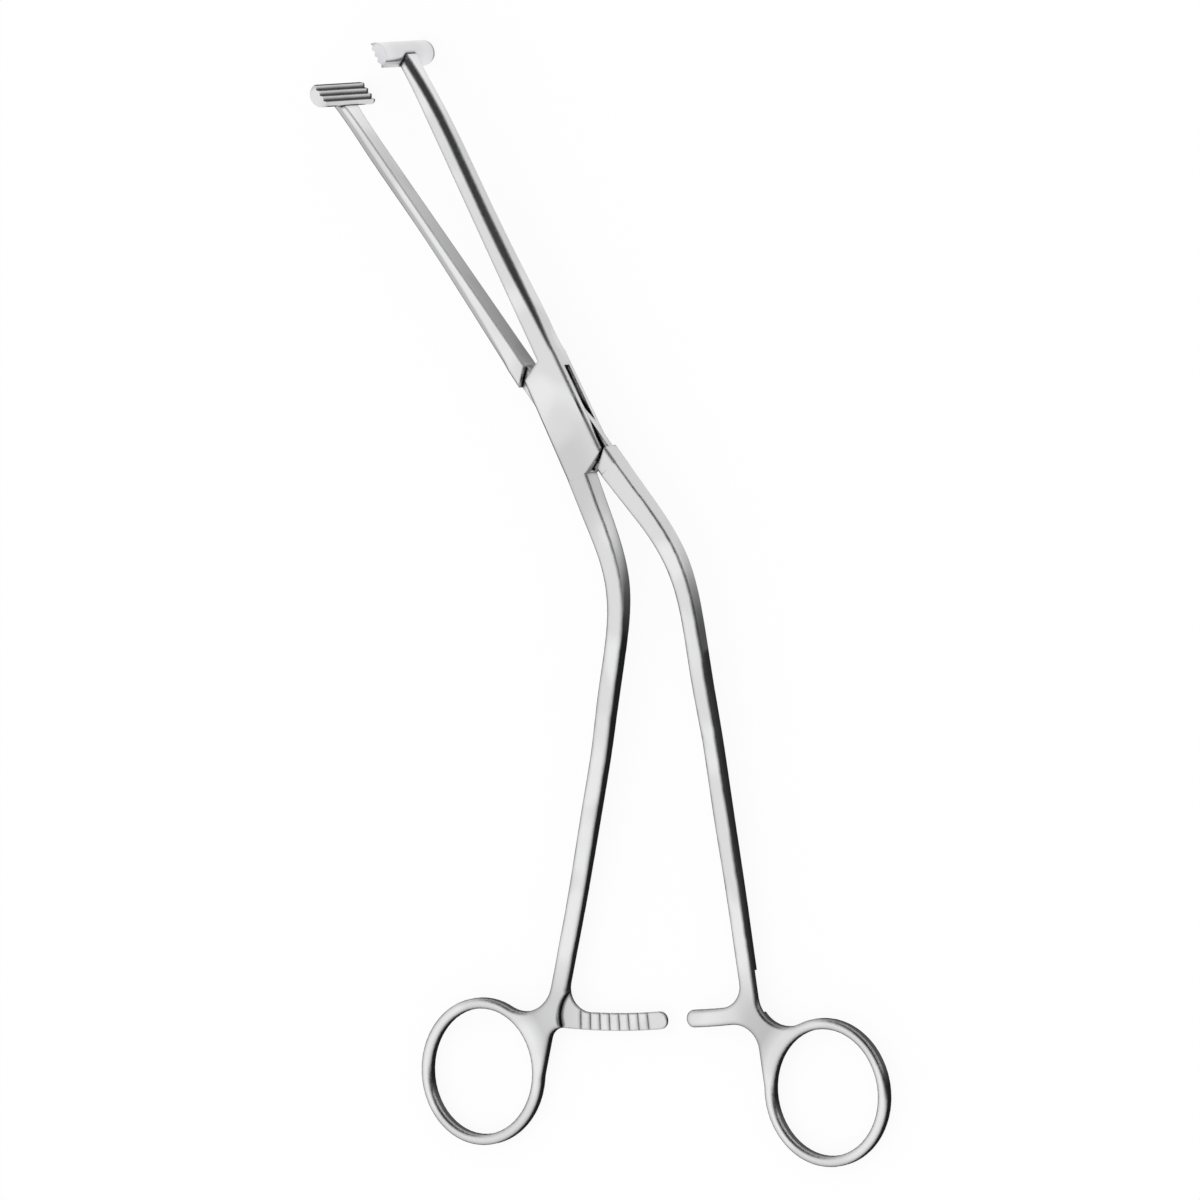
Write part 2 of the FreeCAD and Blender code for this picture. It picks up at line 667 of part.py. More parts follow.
def shoulder(body, name, sign, inner, outer, plain):
    """The full depth of the tongue half begins on a slanted face, clear of the lock's ends."""
    edge = "($tongue_half_width + $shoulder_lap)"
    run = f"({sign} * {inner} + {edge})"
    rise = "($shoulder_end_y - $shoulder_corner_y)"
    angle = f"atan({rise} / {run})"
    place = (f"-{sign} * {edge}", "0", f"-{sign} * $shoulder_corner_y")
    face = new_sketch(body, f"{name}_shoulder_face", "XZ_Plane", place, angle)
    draw_bevelled(face, "0", f"({sign} * sqrt({run} ^ 2 + {rise} ^ 2))", f"cos({angle})", plain)
    root = new_sketch(body, f"{name}_shoulder_root", "XZ_Plane", ("0", "0", f"-{sign} * $shoulder_depth_y"))
    draw_bevelled(root, outer, inner, "1", plain)
    loft(body, f"{name}_shoulder", [face, root])


# The box half: right jaw, slotted lock, left handle

box_handle = Handle("box", 1)
box_half = new_body("box_half")
grip(box_half, box_handle)
ratchet(box_half, "box", 1, BOX_TEETH)
handle_shank(box_half, box_handle)

root_left = "($box_root_x - $shank_root_width / 2)"
root_right = "($box_root_x + $shank_root_width / 2)"
root_low = "($box_root_y - $root_lap)"
corner_rise = "($lock_end_y - $lock_corner_y)"
slope = "(($lock_half_bottom - $lock_half_top) / $lock_corner_y / 2)"
low_section = new_sketch(box_half, "lock_low_section", "XZ_Plane", ("0", "0", f"-({root_low})"))
draw_bevelled(low_section, root_left, f"($lock_half_bottom + {slope} * {corner_rise})")
high_section = new_sketch(box_half, "lock_high_section", "XZ_Plane", ("0", "0", "-$lock_end_y"))
draw_bevelled(high_section, f"(0 - $lock_half_top + {slope} * {corner_rise})", "$box_jaw_root")
loft(box_half, "lock_blank", [low_section, high_section])
top_slope = "(($lock_end_y - $lock_corner_y) / ($jaw_inner + $lock_half_top))"
corner = new_sketch(box_half, "lock_top_corner")
draw_outline(corner, [("$jaw_inner", "$lock_end_y"), ("$jaw_inner", "$lock_end_y + $lock_half_top"),
                      ("-$lock_half_top * 2", "$lock_end_y + $lock_half_top"),
                      ("-$lock_half_top * 2", f"$lock_corner_y - $lock_half_top * {top_slope}")])
pocket(box_half, "lock_top_cut", corner)
low_slope = f"((0 - $lock_corner_y - {root_low}) / ($lock_half_bottom - {root_right}))"
corner = new_sketch(box_half, "lock_low_corner")
near, below = f"{root_right} + $cut_clear", f"{root_low} - $shank_root_width / 2"
draw_outline(corner, [(near, root_low), (near, below), ("$lock_half_bottom * 2", below),
                      ("$lock_half_bottom * 2", f"$lock_half_bottom * {low_slope} - $lock_corner_y")])
pocket(box_half, "lock_low_cut", corner)
jaw(box_half, "box", 1, "$lock_end_y", "$lock_depth")

slot_disc = new_sketch(box_half, "slot_disc")
draw_circle(slot_disc, "$slot_round")
pocket(box_half, "slot_middle", slot_disc, "$slot_depth")
for name, sign in (("upper", 1), ("lower", -1)):
    slot_side = new_sketch(box_half, f"slot_{name}_outline")
    near, far = f"{sign} * $slot_clear", f"-{sign} * $lock_half_bottom * 1.5"
    inside, outside = f"{sign} * $slot_round * 0.8", f"{sign} * $lock_end_y * 1.15"
    draw_outline(slot_side, [(near, inside), (near, outside), (far, outside), (far, inside)])
    pocket(box_half, f"slot_{name}", slot_side, "$slot_depth")
rivet_hole = new_sketch(box_half, "rivet_hole")
draw_circle(rivet_hole, "$pivot_radius")
pocket(box_half, "rivet_bore", rivet_hole)


def on_rivet_rim(edge, middle):
    box = edge.BoundBox
    at_face = box.ZLength < 1e-4 and abs(abs(box.Center.z) - number("$lock_depth / 2")) < 1e-4
    small = box.XLength < number("$pivot_radius * 2.5")
    return at_face and small and math.hypot(box.Center.x, box.Center.y) < 0.2


dress(box_half, "Chamfer", "rivet_sinks", edges_where(box_half, on_rivet_rim), "$rivet_rim")

# The tongue half: left jaw, tongue, right handle

tongue_handle = Handle("tongue", -1)
tongue_half = new_body("tongue_half")
grip(tongue_half, tongue_handle)
ratchet(tongue_half, "tongue", -1, TONGUE_TEETH)
handle_shank(tongue_half, tongue_handle)

edge_x = "$tongue_half_width"
low_in = "($tongue_root_x - $shank_root_width / 2)"
low_out = "($tongue_root_x + $shank_root_width / 2)"
shoulder(tongue_half, "lower", -1, low_in, low_out, False)
neck = new_sketch(tongue_half, "lower_neck_outline")
neck_in = f"{low_in} + $neck_inset"
draw_outline(neck, [(edge_x, "-$tongue_round / 2"), (edge_x, "-$shoulder_corner_y - $neck_lap"),
                    (neck_in, "-$shoulder_end_y - $neck_lap"), (neck_in, "-$tongue_round / 2")])
pad(tongue_half, "lower_neck", neck, "$tongue_depth")
disc = new_sketch(tongue_half, "tongue_disc_outline")
draw_circle(disc, "$tongue_round")
pad(tongue_half, "tongue_disc", disc, "$tongue_depth")
for name, sign in (("right", 1), ("left", -1)):
    flank = new_sketch(tongue_half, f"{name}_flank_outline")
    near, far = f"{sign} * {edge_x}", f"{sign} * $tongue_round * 1.2"
    draw_outline(flank, [(near, "-$tongue_round"), (far, "-$tongue_round"),
                         (far, "$tongue_round"), (near, "$tongue_round")])
    pocket(tongue_half, f"{name}_flank", flank, "$tongue_depth * 1.1")
neck = new_sketch(tongue_half, "upper_neck_outline")
neck_in = "-$jaw_inner - $neck_inset"
draw_outline(neck, [(f"-{edge_x}", "$tongue_round / 2"), (f"-{edge_x}", "$shoulder_corner_y + $neck_lap"),
                    (neck_in, "$shoulder_end_y + $neck_lap"), (neck_in, "$tongue_round / 2")])
pad(tongue_half, "upper_neck", neck, "$tongue_depth")
shoulder(tongue_half, "upper", 1, "(0 - $jaw_inner)", "(0 - $tongue_jaw_root)", True)
jaw(tongue_half, "tongue", -1, "$shoulder_depth_y", "$lock_depth")
tongue_hole = new_sketch(tongue_half, "tongue_hole")
draw_circle(tongue_hole, "$pivot_radius + $pivot_play")
pocket(tongue_half, "tongue_bore", tongue_hole, "$tongue_depth * 1.5")

# The rivet, set flush with both faces

pivot_pin = new_body("pivot_pin")
profile = new_sketch(pivot_pin, "rivet_profile", "XZ_Plane")
head = "($pivot_radius + $rivet_rim)"
half_lock = "$lock_depth / 2"
draw_outline(profile, [("0", f"-{half_lock}"), (head, f"-{half_lock}"),
                       ("$pivot_radius", f"-({half_lock} - $rivet_rim)"),
                       ("$pivot_radius", f"{half_lock} - $rivet_rim"),
                       (head, half_lock), ("0", half_lock)])
revolve(pivot_pin, "rivet", profile, "360")

# The two jaw bars

box_jaw_bar = jaw_bar("box_jaw_bar", 1)
tongue_jaw_bar = jaw_bar("tongue_jaw_bar", -1)

# Each piece is turned into its place at rest, and written

LIFT = "$lock_depth / 2"
BOX_TURN = "$jaw_axis_angle - $rest_opening_angle / 2"
TONGUE_TURN = "$jaw_axis_angle + $rest_opening_angle / 2"
PIECES = [
    (box_half, BOX_TURN),
    (pivot_pin, BOX_TURN),
    (box_jaw_bar, BOX_TURN),
    (tongue_half, TONGUE_TURN),
    (tongue_jaw_bar, TONGUE_TURN),
]
os.makedirs("parts", exist_ok=True)
for body, turn in PIECES:
    body.Placement = FreeCAD.Placement(FreeCAD.Vector(0, 0, number(LIFT)),
                                       FreeCAD.Rotation(FreeCAD.Vector(0, 0, 1), number(turn)))
    body.setExpression("Placement.Base.z", spell(LIFT))
    body.setExpression("Placement.Rotation.Angle", spell(turn))
doc.recompute()
for body, _ in PIECES:
    for feature in body.Group:
        if "Invalid" in feature.State or "Error" in feature.State:
            raise ValueError(f"{feature.Name} is {feature.State}")
    shape = body.Shape
    if not shape.isValid() or len(shape.Solids) != 1:
        raise ValueError(f"{body.Name}: valid {shape.isValid()}, solids {len(shape.Solids)}")
    shape.exportStep(f"parts/{body.Name}.step")
    box = shape.BoundBox
    print(f"{body.Name}: volume {shape.Volume:.1f}, faces {len(shape.Faces)}, "
          f"X {box.XMin:.1f} to {box.XMax:.1f}, Y {box.YMin:.1f} to {box.YMax:.1f}, "
          f"Z {box.ZMin:.1f} to {box.ZMax:.1f}")
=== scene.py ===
"""A pair of ring-handled forceps with T-shaped jaw bars, in satin-polished stainless steel."""
import bmesh
import bpy
import json
import math
from mathutils import Matrix, Vector


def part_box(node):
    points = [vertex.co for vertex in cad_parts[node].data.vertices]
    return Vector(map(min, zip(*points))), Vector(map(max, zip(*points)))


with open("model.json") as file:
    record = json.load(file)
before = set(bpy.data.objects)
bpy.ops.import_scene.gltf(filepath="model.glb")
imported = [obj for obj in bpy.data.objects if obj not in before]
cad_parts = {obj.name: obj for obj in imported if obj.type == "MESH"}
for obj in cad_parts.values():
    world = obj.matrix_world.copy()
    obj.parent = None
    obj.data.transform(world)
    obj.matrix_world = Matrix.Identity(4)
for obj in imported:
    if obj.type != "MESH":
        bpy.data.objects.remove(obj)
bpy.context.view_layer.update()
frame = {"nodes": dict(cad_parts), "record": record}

MM = 0.001


# The two halves
#
# Each half is one drop forging of stainless steel. It is ground to shape, its flat faces are
# satin-polished on a belt, and its edges are broken by hand. The webs beside the finger rings
# are ground a little hollow.

HALF_COLOUR = "#E9E9EA"
HALF_GRAIN = 0.25
HALF_EDGE = 0.8
HALF_CORNER = (0.68, 0.95)
# The colour that the painted shade in corners and grooves darkens to
CORNER_SHADE_COLOUR = "#0E0E0F"
CORNER_REACH = 1.0
GRAIN_DEPTH = 0.004
GRAIN_STRENGTH = 0.25
GRAIN_DETAIL = 3.0
GRAIN_BREAKUP = 0.6
CLOUD_SIZE = 14.0
CLOUD_DETAIL = 1.0
CLOUD_SPAN = (0.3, 0.7)
CLOUD_ROUGHNESS = (0.17, 0.24)
CLOUD_EDGE = (0.42, 0.58)
CLOUD_SHADE = 0.88
FLUSH_REACH = (4.0, 5.0)
LOCK_PATCH_MIDDLE = (0.0, -14.0)
LOCK_PATCH_HALF = (10.0, 17.0)
LOCK_PATCH_EDGE = (0.5, 1.2)
LOCK_PATCH_SHADE = 0.85
RING_RIM_HALF = (13.55, 14.85)
RING_TURNS = {"box": -2, "tongue": 11}
HOLLOW_DEPTH = 0.15
HOLLOW_END = 1.2
WEB_END = 2.5
# Painted shade on the web: a level at each reach out from the ring's rim
WEB_PAINTED_SHADES = ((1.0, 1.0), (1.2, 0.72), (1.55, 0.78), (2.125, 1.0))
SHARP_ANGLE = 32
WELD_REACH = 0.001


def linear(code):
    """An sRGB hex colour as linear RGBA."""
    parts = [int(code[i:i + 2], 16) / 255 for i in (1, 3, 5)]
    return tuple(c / 12.92 if c <= 0.04045 else ((c + 0.055) / 1.055) ** 2.4 for c in parts) + (1.0,)


def grey(level):
    """A linear grey of this level, as RGBA."""
    return (level, level, level, 1.0)


def add(material, kind, links=(), **settings):
    """A node with its settings by name, and its inputs' values or links by index or name."""
    node = material.node_tree.nodes.new(kind)
    for name, value in settings.items():
        setattr(node, name, value)
    for socket, source in links:
        if isinstance(source, bpy.types.NodeSocket):
            material.node_tree.links.new(source, node.inputs[socket])
        else:
            node.inputs[socket].default_value = source
    return node


def set_stops(ramp, stops):
    """Gives a colour ramp its stops, in order, each a position and a colour."""
    while len(ramp.elements) < len(stops):
        ramp.elements.new(1.0)
    for element, (position, colour) in zip(ramp.elements, stops):
        element.position = position
        element.color = colour


def new_material(name):
    """An empty material of this name."""
    material = bpy.data.materials.new(name)
    material.use_nodes = True
    material.node_tree.nodes.clear()
    return material


def oval_reach(material, place, middle, half_sizes, turn=0.0):
    """How far out a point lies from the middle of an oval, 1 at the oval's rim."""
    from_middle = add(material, "ShaderNodeMapping",
                      [("Vector", place), ("Location", middle), ("Rotation", (0, 0, turn)),
                       ("Scale", (half_sizes[0] * MM, half_sizes[1] * MM, 1.0))],
                      vector_type="TEXTURE")
    length = add(material, "ShaderNodeVectorMath", [(0, from_middle.outputs["Vector"])],
                 operation="LENGTH")
    return length.outputs["Value"]


def satin_steel(name, colour, grain_size, edge_radius, corner, lock_patch=False, ring=None, turn=0.0):
    """Satin-polished stainless steel: bright and a little cloudy, with painted shade in its corners.

    The edge radius is how far an edge looks rounded. The corner says how open a place is, from 0
    to 1, where it is all painted shade and where it is bare steel. The lock patch darkens the
    lock's lower half a little. Beside a finger ring the web looks hollow, and painted shade greys
    it there, so that the ring's rim stands out as a bright crest.
    """
    material = new_material(name)
    place = add(material, "ShaderNodeTexCoord").outputs["Object"]

    # The polish lies in clouds, rougher and darker in places. The belt's grit is too fine to show,
    # so its grain is drawn coarser
    grain = add(material, "ShaderNodeTexNoise", [("Vector", place), ("Scale", 1 / (grain_size * MM)),
                                                 ("Detail", GRAIN_DETAIL), ("Roughness", GRAIN_BREAKUP)])
    clouds = add(material, "ShaderNodeTexNoise", [("Vector", place), ("Scale", 1 / (CLOUD_SIZE * MM)),
                                                  ("Detail", CLOUD_DETAIL)])
    rough = add(material, "ShaderNodeMapRange", [("Value", clouds.outputs["Fac"]),
                                                 ("From Min", CLOUD_SPAN[0]), ("From Max", CLOUD_SPAN[1]),
                                                 ("To Min", CLOUD_ROUGHNESS[0]),
                                                 ("To Max", CLOUD_ROUGHNESS[1])])
    cloudy = add(material, "ShaderNodeMapRange", [("Value", clouds.outputs["Fac"]),
                                                  ("From Min", CLOUD_EDGE[0]), ("From Max", CLOUD_EDGE[1]),
                                                  ("To Min", 1.0), ("To Max", CLOUD_SHADE)],
                 interpolation_type="SMOOTHSTEP")

    # The edges look broken, but not round the rivet, which is ground flush
    from_pivot = add(material, "ShaderNodeVectorMath", [(0, place), (1, (1, 1, 0))], operation="MULTIPLY")
    off_pivot = add(material, "ShaderNodeVectorMath", [(0, from_pivot.outputs["Vector"])],
                    operation="LENGTH")
    radius = add(material, "ShaderNodeMapRange", [("Value", off_pivot.outputs["Value"]),
                                                  ("From Min", FLUSH_REACH[0] * MM),
                                                  ("From Max", FLUSH_REACH[1] * MM),
                                                  ("To Max", edge_radius * MM)])
    edge = add(material, "ShaderNodeBevel", [("Radius", radius.outputs["Result"])], samples=4)
    bump = add(material, "ShaderNodeBump", [("Height", grain.outputs["Fac"]), ("Strength", GRAIN_STRENGTH),
                                            ("Distance", GRAIN_DEPTH * MM),
                                            ("Normal", edge.outputs["Normal"])])

    # Painted shade: sharp corners, grooves and slots, where the surroundings close in, darken to near
    # black
    corners = add(material, "ShaderNodeAmbientOcclusion", [("Distance", CORNER_REACH * MM)], samples=8)
    scale = add(material, "ShaderNodeValToRGB", [("Fac", corners.outputs["AO"])])
    set_stops(scale.color_ramp, [(corner[0], linear(CORNER_SHADE_COLOUR)), (corner[1], linear(colour))])
    tone = add(material, "ShaderNodeVectorMath", [(0, scale.outputs["Color"]),
                                                  (1, cloudy.outputs["Result"])],
               operation="MULTIPLY")

    # The lock's lower half is darkened a little, in a soft-edged oval
    if lock_patch:
        middle = (LOCK_PATCH_MIDDLE[0] * MM, LOCK_PATCH_MIDDLE[1] * MM, 0)
        lock_reach = oval_reach(material, place, middle, LOCK_PATCH_HALF)
        lock_darkening = add(material, "ShaderNodeMapRange", [("Value", lock_reach),
                                                    ("From Min", LOCK_PATCH_EDGE[0]),
                                                    ("From Max", LOCK_PATCH_EDGE[1]),
                                                    ("To Min", LOCK_PATCH_SHADE), ("To Max", 1.0)],
                   interpolation_type="SMOOTHSTEP")
        tone = add(material, "ShaderNodeVectorMath", [(0, tone.outputs["Vector"]),
                                                      (1, lock_darkening.outputs["Result"])],
                   operation="MULTIPLY")

    if ring:
        ring_reach = oval_reach(material, place, ring, RING_RIM_HALF, turn)
        hollow = add(material, "ShaderNodeMapRange", [("Value", ring_reach),
                                                      ("From Min", 1.0), ("From Max", HOLLOW_END),
                                                      ("To Min", 1.0), ("To Max", 0.0)],
                     interpolation_type="SMOOTHSTEP")
        bump = add(material, "ShaderNodeBump", [("Height", hollow.outputs["Result"]), ("Strength", 1.0),
                                                ("Distance", HOLLOW_DEPTH * MM),
                                                ("Normal", bump.outputs["Normal"])])
        # Painted shade: the web is greyed beside the ring, darkest a little out from its rim, as a hollow
        # would be shaded
        across_web = add(material, "ShaderNodeMapRange", [("Value", ring_reach), ("From Max", WEB_END)])
        web = add(material, "ShaderNodeValToRGB", [("Fac", across_web.outputs["Result"])])
        set_stops(web.color_ramp, [(reach / WEB_END, grey(shade)) for reach, shade in WEB_PAINTED_SHADES])
        tone = add(material, "ShaderNodeVectorMath", [(0, tone.outputs["Vector"]),
                                                      (1, web.outputs["Color"])],
                   operation="MULTIPLY")

    steel = add(material, "ShaderNodeBsdfPrincipled",
                [("Base Color", tone.outputs["Vector"]), ("Metallic", 1.0),
                 ("Roughness", rough.outputs["Result"]), ("Normal", bump.outputs["Normal"])])
    add(material, "ShaderNodeOutputMaterial", [("Surface", steel.outputs["BSDF"])])
    return material


def dress(node, material):
    """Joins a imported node's loose triangles for shading, and gives it its finish."""
    piece = frame["nodes"][node]
    piece.data.materials.clear()
    piece.data.materials.append(material)
    weld = piece.modifiers.new("weld", "WELD")
    weld.merge_threshold = WELD_REACH * MM
    split = piece.modifiers.new("edges", "EDGE_SPLIT")
    split.split_angle = math.radians(SHARP_ANGLE)
    for face in piece.data.polygons:
        face.use_smooth = True
    normals = piece.modifiers.new("normals", "WEIGHTED_NORMAL")
    normals.keep_sharp = True


rings = {mount["name"]: mount["pos_m"] for mount in frame["record"]["mounts"]}
for half, ring_turn in RING_TURNS.items():
    half_steel = satin_steel(f"satin polished stainless steel, {half} half", HALF_COLOUR,
                             HALF_GRAIN, HALF_EDGE, HALF_CORNER, lock_patch=True,
                             ring=rings[f"{half}_ring"], turn=math.radians(ring_turn))
    dress(f"{half}_half", half_steel)

# The jaw bars
#
# Each bar is of the same steel, with ridges milled along the face that meets the other bar, and
# is brazed to the end of its jaw. Its finer grind looks a little greyer, and painted shade darkens its
# grooves.

BAR_COLOUR = "#E2E2E4"
BAR_GRAIN = 0.2
BAR_EDGE = 0.1
BAR_CORNER = (0.82, 0.95)

bar_steel = satin_steel("fine ground stainless steel bar", BAR_COLOUR, BAR_GRAIN, BAR_EDGE, BAR_CORNER)
dress("box_jaw_bar", bar_steel)
dress("tongue_jaw_bar", bar_steel)

# The rivet
#
# A pin of the same steel, peened into its sinks and then ground and polished together with the
# box lock's face, so that the eye finds no seam.

rivet_steel = satin_steel("rivet steel, polished with the lock", HALF_COLOUR, HALF_GRAIN, HALF_EDGE,
                          HALF_CORNER, lock_patch=True)
dress("pivot_pin", rivet_steel)

# The floor
#
# The forceps lies on a white paper sweep, on its rings and on the ends of its bars, so the floor
# slopes a little from the rings to the bars. It shows white and takes the forceps' shadow, but the
# steel doesn't mirror it, because in the photograph the steel's flanks mirror a dark room.

FLOOR_HALF = 2000.0
FLOOR_GAP = 0.2
RING_FOOT_HEIGHT = 1.0
SHADOW_SHARE = 0.1

bar_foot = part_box("box_jaw_bar")[0]
ring_foot = Vector((0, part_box("tongue_half")[0].y, RING_FOOT_HEIGHT * MM))
slope = math.atan((ring_foot.z - bar_foot.z) / (bar_foot.y - ring_foot.y))


def lay_sheet(name, half_sizes, middle, material):
    """A flat sheet with the floor's slope, its middle at the point given in metres."""
    sheet = bmesh.new()
    bmesh.ops.create_grid(sheet, x_segments=1, y_segments=1, size=1.0)
    bmesh.ops.scale(sheet, vec=(half_sizes[0] * MM, half_sizes[1] * MM, 1), verts=sheet.verts)
    bmesh.ops.rotate(sheet, verts=sheet.verts, matrix=Matrix.Rotation(-slope, 3, "X"))
    bmesh.ops.translate(sheet, vec=middle, verts=sheet.verts)
    mesh = bpy.data.meshes.new(name)
    sheet.to_mesh(mesh)
    sheet.free()
    mesh.materials.append(material)
    laid = bpy.data.objects.new(name, mesh)
    bpy.context.scene.collection.objects.link(laid)
    return laid


paper = new_material("white paper sweep")
paper_rays = add(paper, "ShaderNodeLightPath")
matte = add(paper, "ShaderNodeBsdfDiffuse", [("Color", linear("#FFFFFF"))])
white = add(paper, "ShaderNodeEmission", [("Color", linear("#FFFFFF")), ("Strength", 1.0)])
shown = add(paper, "ShaderNodeMath", [(0, paper_rays.outputs["Is Camera Ray"]), (1, 1 - SHADOW_SHARE)],
            operation="MULTIPLY")
sweep = add(paper, "ShaderNodeMixShader", [("Fac", shown.outputs["Value"]),
                                           (1, matte.outputs["BSDF"]),
                                           (2, white.outputs["Emission"])])
add(paper, "ShaderNodeOutputMaterial", [("Surface", sweep.outputs["Shader"])])

floor = lay_sheet("floor", (FLOOR_HALF, FLOOR_HALF), (0, bar_foot.y, bar_foot.z - FLOOR_GAP * MM), paper)
floor.visible_glossy = False

# The card under the jaws
#
# A white card that only polished steel sees. It is brightest under the bars and dim under the
# left jaw, and to the right of a slanting line it lights the outer side of the right jaw, the
# lock and the handles' upper ends.

CARD_LEFT = -52.0
CARD_RIGHT = 55.0
CARD_NEAR = -45.0
CARD_FAR = 105.0
CARD_FULL = 68.0
CARD_LEVELS = ((0.0, 0.02), (0.25, 0.22), (0.55, 0.28), (0.85, 0.62), (1.0, 1.0))
SLANT = 0.5
SLANT_FADE = 4.0
PATCH_NEAR = -42.0
PATCH_FULL = -14.0
PATCH_DIM = 0.1
PATCH_BRIGHT = 0.85

card_white = new_material("white card in the jaws' flanks")
card_place = add(card_white, "ShaderNodeTexCoord").outputs["Object"]
on_card = add(card_white, "ShaderNodeSeparateXYZ", [("Vector", card_place)])
along = add(card_white, "ShaderNodeMapRange", [("Value", on_card.outputs["Y"]),
                                               ("From Min", CARD_NEAR * MM),
                                               ("From Max", CARD_FULL * MM)])
fade = add(card_white, "ShaderNodeValToRGB", [("Fac", along.outputs["Result"])])
set_stops(fade.color_ramp, [(position, grey(level)) for position, level in CARD_LEVELS])
slanted = add(card_white, "ShaderNodeMath", [(0, on_card.outputs["Y"]), (1, SLANT),
                                             (2, on_card.outputs["X"])],
              operation="MULTIPLY_ADD")
right_side = add(card_white, "ShaderNodeMapRange", [("Value", slanted.outputs["Value"]),
                                                    ("From Min", 0.0),
                                                    ("From Max", SLANT_FADE * MM)],
                 interpolation_type="SMOOTHSTEP")
past_handles = add(card_white, "ShaderNodeMapRange", [("Value", on_card.outputs["Y"]),
                                                      ("From Min", PATCH_NEAR * MM),
                                                      ("From Max", PATCH_FULL * MM),
                                                      ("To Min", PATCH_DIM),
                                                      ("To Max", PATCH_BRIGHT)],
                   interpolation_type="SMOOTHSTEP")
patch = add(card_white, "ShaderNodeMath", [(0, right_side.outputs["Result"]),
                                           (1, past_handles.outputs["Result"])],
            operation="MULTIPLY")
brighter = add(card_white, "ShaderNodeVectorMath", [(0, fade.outputs["Color"]),
                                                    (1, patch.outputs["Value"])],
               operation="MAXIMUM")
glow = add(card_white, "ShaderNodeEmission", [("Color", brighter.outputs["Vector"]), ("Strength", 1.0)])
add(card_white, "ShaderNodeOutputMaterial", [("Surface", glow.outputs["Emission"])])

card_half = ((CARD_RIGHT - CARD_LEFT) / 2, (CARD_FAR - CARD_NEAR) / 2)
card_middle = ((CARD_LEFT + CARD_RIGHT) / 2 * MM, (CARD_NEAR + CARD_FAR) / 2 * MM, bar_foot.z)
card = lay_sheet("card", card_half, card_middle, card_white)
card.visible_camera = False
card.visible_diffuse = False
card.visible_shadow = False

# The light tent
#
# The forceps is lit by plain white from all round. Polished steel alone mirrors a studio there: a
# white tent that dims towards the horizon, with an opening on the far right, and a dark room
# below. The heights and sides are parts of a direction's length.

TENT_HEIGHTS = (-0.5, 0.85)
TENT_LEVELS = (0.45, 1.0)
OPENING_WAY = (0.55, 0.835, 0)
OPENING_EDGE = (0.25, 0.6)
OPENING_LEVEL = 0.03
WALL_HEIGHTS = (0.0, -0.2)
WALL_SIDE = (0.3, 0.45)
ROOM_SIDE = (0.05, 0.3)
ROOM_LEVELS = (0.015, 0.1)
ROOM_HEIGHTS = (-0.2, -0.6)

studio = bpy.data.worlds.new("light tent")
studio.use_nodes = True
studio.node_tree.nodes.clear()
sky = add(studio, "ShaderNodeTexCoord").outputs["Generated"]
way = add(studio, "ShaderNodeSeparateXYZ", [("Vector", sky)])
fabric = add(studio, "ShaderNodeMapRange", [("Value", way.outputs["Z"]),
                                            ("From Min", TENT_HEIGHTS[0]), ("From Max", TENT_HEIGHTS[1]),
                                            ("To Min", TENT_LEVELS[0]), ("To Max", TENT_LEVELS[1])])
far_right = add(studio, "ShaderNodeVectorMath", [(0, sky), (1, OPENING_WAY)], operation="DOT_PRODUCT")
opening = add(studio, "ShaderNodeMapRange", [("Value", far_right.outputs["Value"]),
                                             ("From Min", OPENING_EDGE[0]), ("From Max", OPENING_EDGE[1]),
                                             ("To Min", 1.0), ("To Max", OPENING_LEVEL)],
              interpolation_type="SMOOTHSTEP")
open_tent = add(studio, "ShaderNodeMath", [(0, fabric.outputs["Result"]), (1, opening.outputs["Result"])],
                operation="MULTIPLY")

# Below the horizon, a low wall stands on the far side, across the opening too
low = add(studio, "ShaderNodeMapRange", [("Value", way.outputs["Z"]),
                                         ("From Min", WALL_HEIGHTS[0]), ("From Max", WALL_HEIGHTS[1])],
          interpolation_type="SMOOTHSTEP")
far = add(studio, "ShaderNodeMapRange", [("Value", way.outputs["Y"]),
                                         ("From Min", WALL_SIDE[0]), ("From Max", WALL_SIDE[1])],
          interpolation_type="SMOOTHSTEP")
wall = add(studio, "ShaderNodeMath", [(0, low.outputs["Result"]), (1, far.outputs["Result"])],
           operation="MULTIPLY")
tent = add(studio, "ShaderNodeMath", [(0, open_tent.outputs["Value"]), (1, wall.outputs["Value"])],
           operation="MAXIMUM")

# The room below is dark, and a little lighter on the far side
room = add(studio, "ShaderNodeMapRange", [("Value", way.outputs["Y"]),
                                          ("From Min", ROOM_SIDE[0]), ("From Max", ROOM_SIDE[1]),
                                          ("To Min", ROOM_LEVELS[0]), ("To Max", ROOM_LEVELS[1])])
below = add(studio, "ShaderNodeMapRange", [("Value", way.outputs["Z"]),
                                           ("From Min", ROOM_HEIGHTS[0]), ("From Max", ROOM_HEIGHTS[1])],
            interpolation_type="SMOOTHSTEP")
above = add(studio, "ShaderNodeMath", [(0, 1.0), (1, below.outputs["Result"])], operation="SUBTRACT")
tent_share = add(studio, "ShaderNodeMath", [(0, tent.outputs["Value"]), (1, above.outputs["Value"])],
                 operation="MULTIPLY")
level = add(studio, "ShaderNodeMath", [(0, room.outputs["Result"]), (1, below.outputs["Result"]),
                                       (2, tent_share.outputs["Value"])],
            operation="MULTIPLY_ADD")

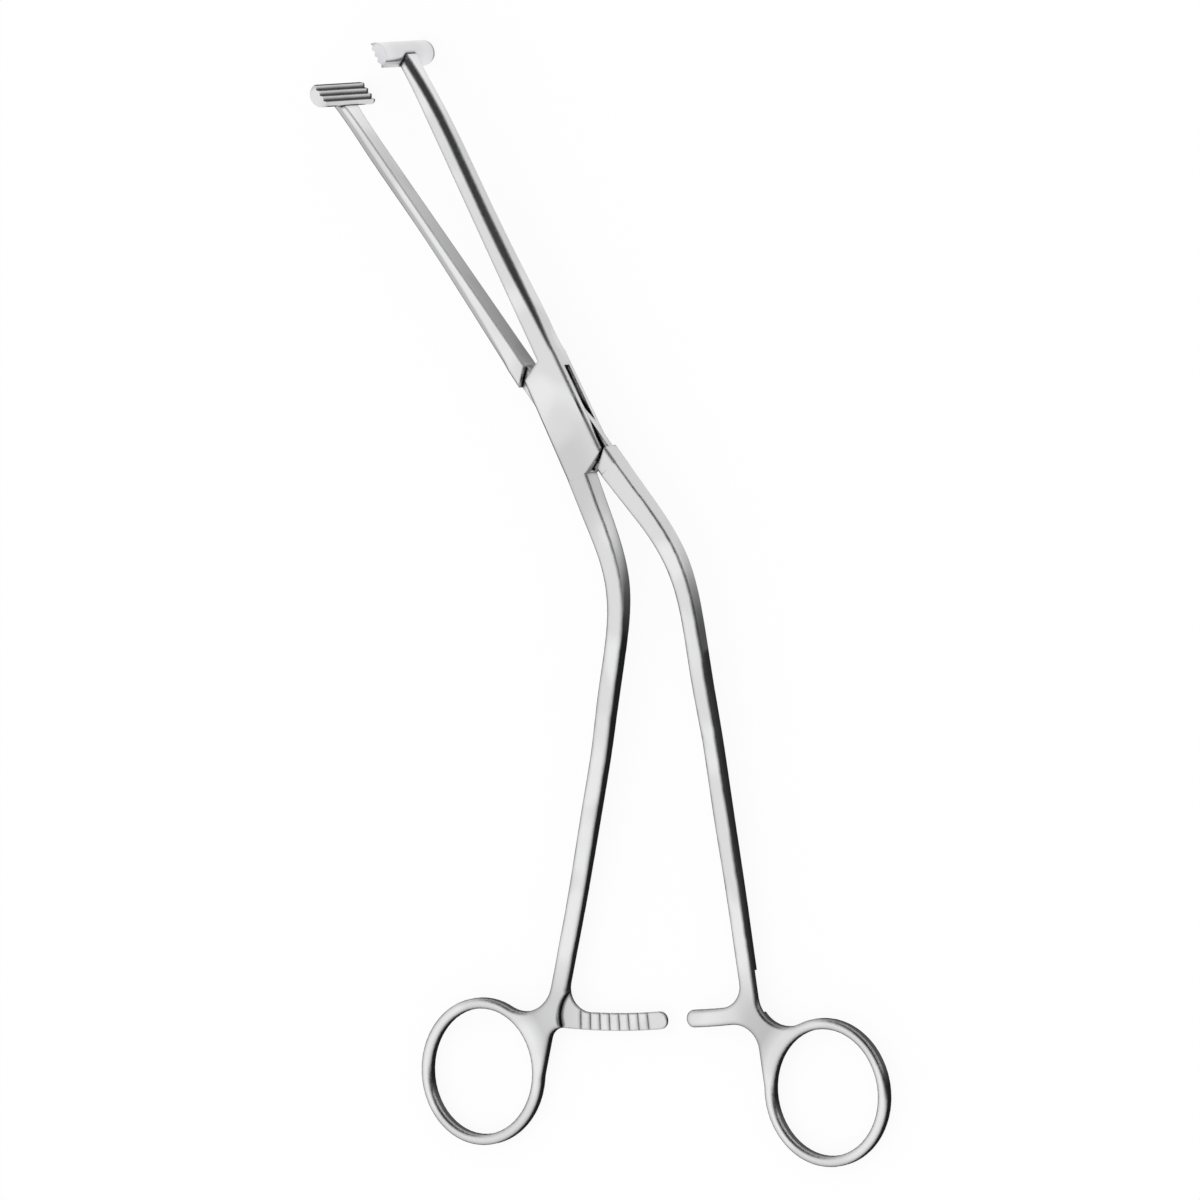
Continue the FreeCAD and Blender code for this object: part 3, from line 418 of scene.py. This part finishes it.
studio_rays = add(studio, "ShaderNodeLightPath")
plain = add(studio, "ShaderNodeBackground", [("Color", linear("#FFFFFF")), ("Strength", 1.0)])
mirrored = add(studio, "ShaderNodeBackground", [("Color", level.outputs["Value"]), ("Strength", 1.0)])
seen = add(studio, "ShaderNodeMixShader", [("Fac", studio_rays.outputs["Is Glossy Ray"]),
                                           (1, plain.outputs["Background"]),
                                           (2, mirrored.outputs["Background"])])
add(studio, "ShaderNodeOutputWorld", [("Surface", seen.outputs["Shader"])])
bpy.context.scene.world = studio

# The camera
#
# The view is from above and from the right of the part's own axis, a little rolled, and from far
# off, so that it is nearly square on all over.

VIEW_TILT = math.radians(27)
VIEW_TURN = math.radians(9.03)
VIEW_ROLL = math.radians(7.5)
AIM_HEIGHT = 2.8
AIM_RIGHT = 6.52
AIM_DOWN = 36.76
FRAME_WIDTH = 240.0
DISTANCE = 3000.0
SENSOR = 36.0
CLIP_END = 20000.0

sin_tilt, cos_tilt = math.sin(VIEW_TILT), math.cos(VIEW_TILT)
sin_turn, cos_turn = math.sin(VIEW_TURN), math.cos(VIEW_TURN)
toward = Vector((sin_tilt * cos_turn, sin_tilt * sin_turn, cos_tilt))
flat_right = Vector((cos_tilt * cos_turn, cos_tilt * sin_turn, -sin_tilt))
flat_up = Vector((-sin_turn, cos_turn, 0))
right = flat_right * math.cos(VIEW_ROLL) - flat_up * math.sin(VIEW_ROLL)
up = flat_right * math.sin(VIEW_ROLL) + flat_up * math.cos(VIEW_ROLL)
aim = Vector((0, 0, AIM_HEIGHT)) + right * AIM_RIGHT - up * AIM_DOWN
eye = (aim + toward * DISTANCE) * MM

lens = bpy.data.cameras.new("camera")
lens.sensor_width = SENSOR
lens.lens = SENSOR * DISTANCE / FRAME_WIDTH
lens.clip_end = CLIP_END * MM
camera = bpy.data.objects.new("camera", lens)
bpy.context.scene.collection.objects.link(camera)
camera.matrix_world = Matrix((
    (right.x, up.x, toward.x, eye.x),
    (right.y, up.y, toward.y, eye.y),
    (right.z, up.z, toward.z, eye.z),
    (0, 0, 0, 1),
))
bpy.context.scene.camera = camera
bpy.context.scene.view_settings.view_transform = "Standard"
